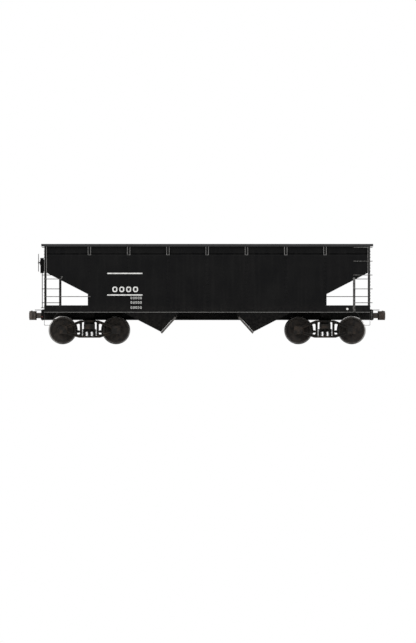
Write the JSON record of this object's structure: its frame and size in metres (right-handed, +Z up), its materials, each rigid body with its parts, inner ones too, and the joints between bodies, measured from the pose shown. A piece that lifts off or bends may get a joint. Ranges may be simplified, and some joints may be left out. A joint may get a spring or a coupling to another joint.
{
  "type": "open hopper wagon",
  "caption": "Open-top hopper wagon with sloped ends, offset side sheets over posts, bottom doors hinged under two bays, and swivelling spring trucks.",
  "frame": {"origin": "centre of the wagon, on the floor that the wheel flanges stand on", "axes": "+X along the wagon to its ladder end as seen from -Y, +Y across, +Z up"},
  "size_m": [11.176, 3.2278, 3.1489],
  "materials": {
    "body_paint": "semi-gloss black paint",
    "chord_paint": "worn dark grey paint",
    "cast_paint": "matt black paint on rough castings",
    "coupler_steel": "bare cast steel, weathered brown-grey",
    "wheel_steel": "wrought steel with a bright tread",
    "axle_steel": "forged steel, turned",
    "spring_steel": "black oiled spring steel"
  },
  "bodies": {
    "wagon_body": {"side_sheet_far": "body_paint", "side_sheet_near": "body_paint", "side_posts_far": "body_paint", "side_posts_near": "body_paint", "side_sill_far": "body_paint", "side_sill_near": "body_paint", "top_chord": "chord_paint", "end_sheets": "body_paint", "corner_posts": "body_paint", "end_posts": "body_paint", "end_sills": "body_paint", "slope_sheet_a": "body_paint", "slope_sheet_b": "body_paint", "cross_ridge": "body_paint", "centre_hoods": "body_paint", "centre_sill": "body_paint", "centre_sill_cover": "body_paint", "strikers": "body_paint", "chute_outer_walls": "body_paint", "chute_inner_walls": "body_paint", "hinge_ears": "body_paint", "body_bolsters": "body_paint", "centre_plates": "cast_paint", "bolster_webs": "body_paint", "side_ladders": "body_paint", "end_ladders": "body_paint", "grab_irons": "body_paint", "sill_steps": "body_paint", "uncoupling_levers": "body_paint", "lever_brackets": "body_paint", "train_pipe": "body_paint", "hand_brake_wheel": "body_paint", "hand_brake_case": "body_paint", "brake_cylinder": "body_paint", "air_reservoir": "body_paint", "brake_bearers": "body_paint"},
    "truck_a": {"side_frames_a": "cast_paint", "truck_bolster_a": "cast_paint", "truck_springs_a": "spring_steel", "brake_beams_a": "cast_paint"},
    "truck_b": {"side_frames_b": "cast_paint", "truck_bolster_b": "cast_paint", "truck_springs_b": "spring_steel", "brake_beams_b": "cast_paint"},
    "wheelset_1": {"wheels_1": "wheel_steel", "axle_1": "axle_steel"},
    "wheelset_2": {"wheels_2": "wheel_steel", "axle_2": "axle_steel"},
    "wheelset_3": {"wheels_3": "wheel_steel", "axle_3": "axle_steel"},
    "wheelset_4": {"wheels_4": "wheel_steel", "axle_4": "axle_steel"},
    "doors_a": {"hopper_doors_a": "body_paint", "door_beam_a": "body_paint"},
    "doors_b": {"hopper_doors_b": "body_paint", "door_beam_b": "body_paint"},
    "coupler_body_a": {"coupler_a": "coupler_steel"},
    "knuckle_body_a": {"knuckle_a": "coupler_steel"},
    "coupler_body_b": {"coupler_b": "coupler_steel"},
    "knuckle_body_b": {"knuckle_b": "coupler_steel"}
  },
  "joints": [
    {"name": "truck_swivel_a", "type": "hinge", "parent": "wagon_body", "child": "truck_a", "pos_m": [3.696, 0, 0.679], "axis": [0, 0, 1], "range_deg": [-8, 8]},
    {"name": "truck_swivel_b", "type": "hinge", "parent": "wagon_body", "child": "truck_b", "pos_m": [-3.696, 0, 0.679], "axis": [0, 0, 1], "range_deg": [-8, 8]},
    {"name": "wheel_roll_1", "type": "hinge", "parent": "truck_b", "child": "wheelset_1", "pos_m": [-4.534, 0, 0.444], "axis": [0, 1, 0], "continuous": true},
    {"name": "wheel_roll_2", "type": "hinge", "parent": "truck_b", "child": "wheelset_2", "pos_m": [-2.858, 0, 0.444], "axis": [0, 1, 0], "continuous": true},
    {"name": "wheel_roll_3", "type": "hinge", "parent": "truck_a", "child": "wheelset_3", "pos_m": [2.858, 0, 0.444], "axis": [0, 1, 0], "continuous": true},
    {"name": "wheel_roll_4", "type": "hinge", "parent": "truck_a", "child": "wheelset_4", "pos_m": [4.534, 0, 0.444], "axis": [0, 1, 0], "continuous": true},
    {"name": "door_swing_a", "type": "hinge", "parent": "wagon_body", "child": "doors_a", "pos_m": [0.96344, 0, 0.8785], "axis": [0, 1, 0], "range_deg": [0, 60]},
    {"name": "door_swing_b", "type": "hinge", "parent": "wagon_body", "child": "doors_b", "pos_m": [-0.96344, 0, 0.8785], "axis": [0, -1, 0], "range_deg": [0, 60]},
    {"name": "coupler_swing_a", "type": "hinge", "parent": "wagon_body", "child": "coupler_body_a", "pos_m": [4.9, 0, 0.901], "axis": [0, 0, 1], "range_deg": [-7, 7]},
    {"name": "knuckle_open_a", "type": "hinge", "parent": "coupler_body_a", "child": "knuckle_body_a", "pos_m": [5.503, 0.095, 0.901], "axis": [0, 0, 1], "range_deg": [0, 45]},
    {"name": "coupler_swing_b", "type": "hinge", "parent": "wagon_body", "child": "coupler_body_b", "pos_m": [-4.9, 0, 0.901], "axis": [0, 0, 1], "range_deg": [-7, 7]},
    {"name": "knuckle_open_b", "type": "hinge", "parent": "coupler_body_b", "child": "knuckle_body_b", "pos_m": [-5.503, -0.095, 0.901], "axis": [0, 0, 1], "range_deg": [0, 45]}
  ]
}
